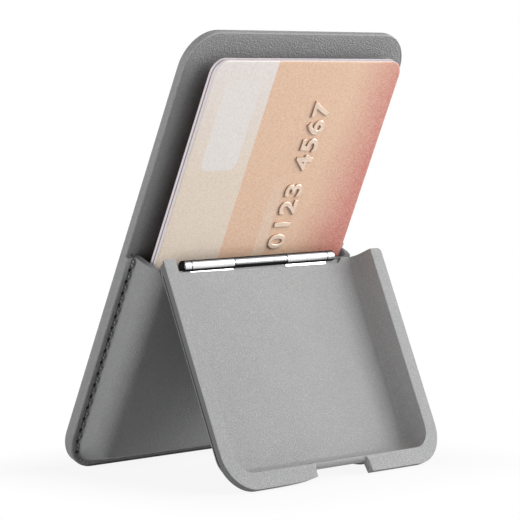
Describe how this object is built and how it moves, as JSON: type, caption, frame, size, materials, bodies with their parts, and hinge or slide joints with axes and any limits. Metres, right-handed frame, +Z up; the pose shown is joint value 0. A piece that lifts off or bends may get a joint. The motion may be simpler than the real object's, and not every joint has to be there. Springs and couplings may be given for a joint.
{
  "type": "magnetic phone wallet",
  "caption": "Leather card wallet that clings to a phone by a ring of magnets, with a moulded pocket and a hinged lid that folds down as a stand.",
  "frame": {"origin": "middle of the underside of the open wallet's box, on the surface that it stands on", "axes": "+X to the wallet's right seen from the card side, along the hinge pin; -Y towards the foot of the lid; +Z up"},
  "size_m": [0.0632, 0.0498, 0.0881],
  "materials": {
    "leather_grey": "fine pebbled grain, matt",
    "thread_grey": "twisted polyester",
    "hinge_steel": "polished",
    "shield_steel": "rolled sheet",
    "magnet_nickel": "nickel plated",
    "board_black": "matt",
    "card_sand": "plain laminated card",
    "card_rose": "plain laminated card"
  },
  "bodies": {
    "wallet": {"back_cover": "leather_grey", "core_board": "board_black", "shunt_ring": "shield_steel", "alignment_magnet": "magnet_nickel", "card_shield": "shield_steel", "keeper_left": "shield_steel", "keeper_right": "shield_steel", "ring_magnet_01": "magnet_nickel", "ring_magnet_02": "magnet_nickel", "ring_magnet_03": "magnet_nickel", "ring_magnet_04": "magnet_nickel", "ring_magnet_05": "magnet_nickel", "ring_magnet_06": "magnet_nickel", "ring_magnet_07": "magnet_nickel", "ring_magnet_08": "magnet_nickel", "ring_magnet_09": "magnet_nickel", "ring_magnet_10": "magnet_nickel", "ring_magnet_11": "magnet_nickel", "ring_magnet_12": "magnet_nickel", "ring_magnet_13": "magnet_nickel", "ring_magnet_14": "magnet_nickel", "ring_magnet_15": "magnet_nickel", "ring_magnet_16": "magnet_nickel", "front_lining": "leather_grey", "pocket_shell": "leather_grey", "pocket_stiffener": "board_black", "pocket_lining": "leather_grey", "seam_thread_left": "thread_grey", "seam_thread_right": "thread_grey", "hinge_leaf_pocket": "hinge_steel", "hinge_pin": "hinge_steel", "card_front": "card_sand", "card_rear": "card_rose"},
    "lid": {"lid_cover": "leather_grey", "lid_lining": "leather_grey", "lid_board": "board_black", "clasp_magnet_left": "magnet_nickel", "clasp_magnet_right": "magnet_nickel", "hinge_leaf_lid": "hinge_steel"}
  },
  "joints": [
    {"name": "lid_hinge", "type": "hinge", "parent": "wallet", "child": "lid", "pos_m": [0, -0.0012, 0.04187], "axis": [1, 0, 0], "range_deg": [-133.4, 5]}
  ]
}
